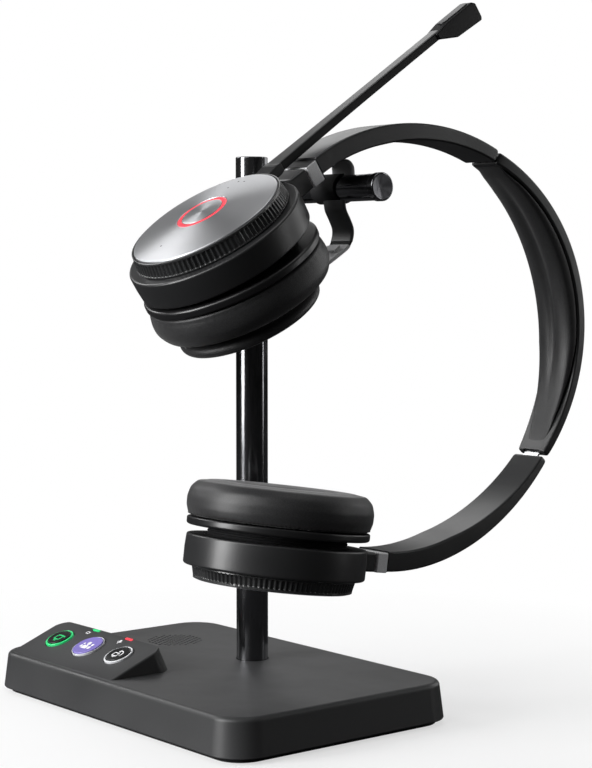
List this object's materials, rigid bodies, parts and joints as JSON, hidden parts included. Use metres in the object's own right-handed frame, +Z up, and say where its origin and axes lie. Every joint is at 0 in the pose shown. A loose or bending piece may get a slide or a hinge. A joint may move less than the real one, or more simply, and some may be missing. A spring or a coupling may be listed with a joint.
{
  "type": "office headset",
  "caption": "Cordless office headset with a boom microphone and round ear cups, hung on the arm of a desk charging stand with call buttons.",
  "frame": {"origin": "centre of the stand's rectangular base, on the desk surface under the foot pad", "axes": "+Z up along the post; +X along the base's long side, from the button end towards the side the headset hangs on; +Y from the front wall to the back, towards the headband"},
  "size_m": [0.1536, 0.1904, 0.248],
  "materials": {
    "charcoal_plastic": "fine satin-matte grain, dark charcoal",
    "charcoal_satin": "satin charcoal, soft highlights",
    "black_plastic": "satin black",
    "black_chrome": "gloss black chrome",
    "spun_dark": "dark metal with fine turned rings",
    "spun_silver": "spun silver with radial highlights",
    "silver_plastic": "satin silver",
    "cushion_leather": "black leatherette with a soft sheen",
    "rubber_black": "matt black",
    "steel": "fine brushed",
    "zinc_steel": "dull zinc plate",
    "board_green": "green solder mask",
    "gold_contact": "gold plate",
    "green_glow": "lit green lens",
    "red_glow": "lit red lens",
    "white_trim": "white trim ring",
    "violet_cap": "violet satin cap",
    "battery_wrap": "grey shrink wrap",
    "cone_paper": "black woven driver cover"
  },
  "bodies": {
    "stand": {"base_shell": "charcoal_plastic", "base_tray": "black_plastic", "foot_pad": "rubber_black", "ballast_plate": "zinc_steel", "base_board": "board_green", "usb_socket": "steel", "base_speaker": "cone_paper", "ring_answer": "green_glow", "ring_meeting": "white_trim", "ring_switch": "white_trim", "led_battery": "green_glow", "led_mute": "red_glow", "post_tube": "black_chrome", "post_lid": "black_chrome", "post_plug": "zinc_steel", "cradle_rod": "black_chrome", "rod_cap": "spun_dark", "cradle_strap": "black_plastic", "charge_contact": "gold_contact"},
    "key_answer": {"button_answer": "black_plastic"},
    "key_meeting": {"button_meeting": "violet_cap"},
    "key_switch": {"button_switch": "black_plastic"},
    "headset_upper": {"upper_housing": "charcoal_satin", "upper_disc": "spun_silver", "call_light": "red_glow", "upper_board": "board_green", "upper_accent": "silver_plastic", "upper_arm": "charcoal_satin", "upper_strip": "steel", "upper_bellows": "rubber_black"},
    "call_key": {"call_button": "spun_silver"},
    "boom": {"upper_knurl": "black_plastic", "boom_arm": "black_plastic", "mic_head": "black_plastic", "mic_capsule": "steel"},
    "upper_hoop": {"upper_gimbal": "steel"},
    "upper_pad": {"upper_flange": "black_plastic", "upper_driver": "cone_paper", "upper_cushion": "cushion_leather"},
    "headband": {"band_shell": "charcoal_satin", "band_pad": "cushion_leather"},
    "headset_lower": {"lower_housing": "charcoal_satin", "lower_disc": "spun_silver", "lower_knurl": "black_plastic", "lower_board": "board_green", "battery": "battery_wrap", "lower_accent": "silver_plastic", "lower_arm": "charcoal_satin", "lower_strip": "steel", "lower_bellows": "rubber_black"},
    "lower_hoop": {"lower_gimbal": "steel"},
    "lower_pad": {"lower_flange": "black_plastic", "lower_driver": "cone_paper", "lower_cushion": "cushion_leather"}
  },
  "joints": [
    {"name": "press_answer", "type": "slide", "parent": "stand", "child": "key_answer", "axis": [0, 0.3665, -0.9304], "range_m": [0, 0.0008], "stiffness_N_per_m": 400},
    {"name": "press_meeting", "type": "slide", "parent": "stand", "child": "key_meeting", "axis": [0, 0.3665, -0.9304], "range_m": [0, 0.0008], "stiffness_N_per_m": 400},
    {"name": "press_switch", "type": "slide", "parent": "stand", "child": "key_switch", "axis": [0, 0.3665, -0.9304], "range_m": [0, 0.0008], "stiffness_N_per_m": 400},
    {"name": "headset_lift", "type": "slide", "parent": "stand", "child": "headset_upper", "axis": [0, 0, 1], "range_m": [0, 0.06]},
    {"name": "press_call", "type": "slide", "parent": "headset_upper", "child": "call_key", "axis": [0, 0.5592, -0.829], "range_m": [0, 0.0005], "stiffness_N_per_m": 500},
    {"name": "boom_turn", "type": "hinge", "parent": "headset_upper", "child": "boom", "pos_m": [0.0488, -0.0403, 0.1715], "axis": [0, -0.5592, 0.829], "range_deg": [-160, 160]},
    {"name": "upper_pitch", "type": "hinge", "parent": "headset_upper", "child": "upper_hoop", "pos_m": [0.0488, -0.03292, 0.16056], "axis": [1, 0, 0], "range_deg": [-1, 8.2], "stiffness_Nm_per_rad": 0.5, "deforming": ["upper_bellows"]},
    {"name": "upper_roll", "type": "hinge", "parent": "upper_hoop", "child": "upper_pad", "pos_m": [0.0488, -0.03292, 0.16056], "axis": [0, 0.8625, 0.506], "range_deg": [-2, 2], "stiffness_Nm_per_rad": 0.5, "deforming": ["upper_bellows"]},
    {"name": "extend_upper", "type": "slide", "parent": "headset_upper", "child": "headband", "axis": [0, 0.9113, -0.4117], "range_m": [0, 0.014]},
    {"name": "extend_lower", "type": "slide", "parent": "headband", "child": "headset_lower", "axis": [0, -0.6322, -0.7748], "range_m": [0, 0.014]},
    {"name": "lower_pitch", "type": "hinge", "parent": "headset_lower", "child": "lower_hoop", "pos_m": [0.0488, -0.01126, 0.06347], "axis": [1, 0, 0], "range_deg": [-4.5, 4.5], "stiffness_Nm_per_rad": 0.5, "deforming": ["lower_bellows"]},
    {"name": "lower_roll", "type": "hinge", "parent": "lower_hoop", "child": "lower_pad", "pos_m": [0.0488, -0.01126, 0.06347], "axis": [0, 0.9903, -0.1392], "range_deg": [-2, 2], "stiffness_Nm_per_rad": 0.5, "deforming": ["lower_bellows"]}
  ]
}
